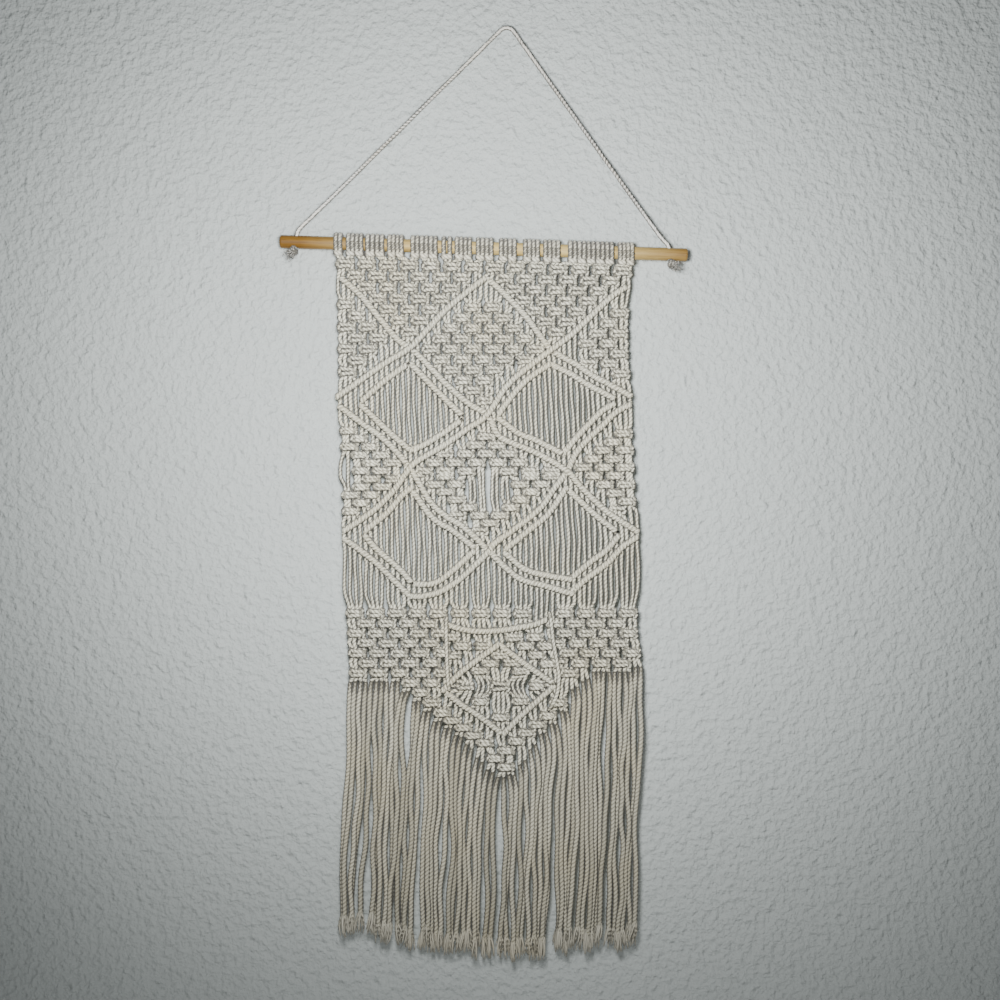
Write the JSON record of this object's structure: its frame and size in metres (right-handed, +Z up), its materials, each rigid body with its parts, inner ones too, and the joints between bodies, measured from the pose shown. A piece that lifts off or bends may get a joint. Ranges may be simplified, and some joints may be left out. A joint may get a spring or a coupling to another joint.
{
  "type": "macrame wall hanging with wooden dowel and hanger cord",
  "caption": "Knotted cotton cord panel with leaf-shaped openings and a V hem over long fringe, worked on a round wooden dowel with a cord to hang it by.",
  "frame": {"origin": "where the hanger cord rests on its wall pin", "axes": "+X to the viewer's right along the wall, +Y into the wall, +Z up; the fringe hangs plumb"},
  "size_m": [0.4074, 0.0192, 0.9369],
  "materials": {
    "dowel_wood": "lightly oiled, turned smooth",
    "hanger_cotton": "three-ply twisted cotton cord",
    "cotton_cord": "three-ply twisted cotton cord, unbleached"
  },
  "bodies": {
    "root": {"dowel": "dowel_wood", "hanger_cord": "hanger_cotton", "stopper_left": "hanger_cotton", "stopper_right": "hanger_cotton", "heading": "cotton_cord", "panel": "cotton_cord", "fringe": "cotton_cord"}
  },
  "joints": []
}
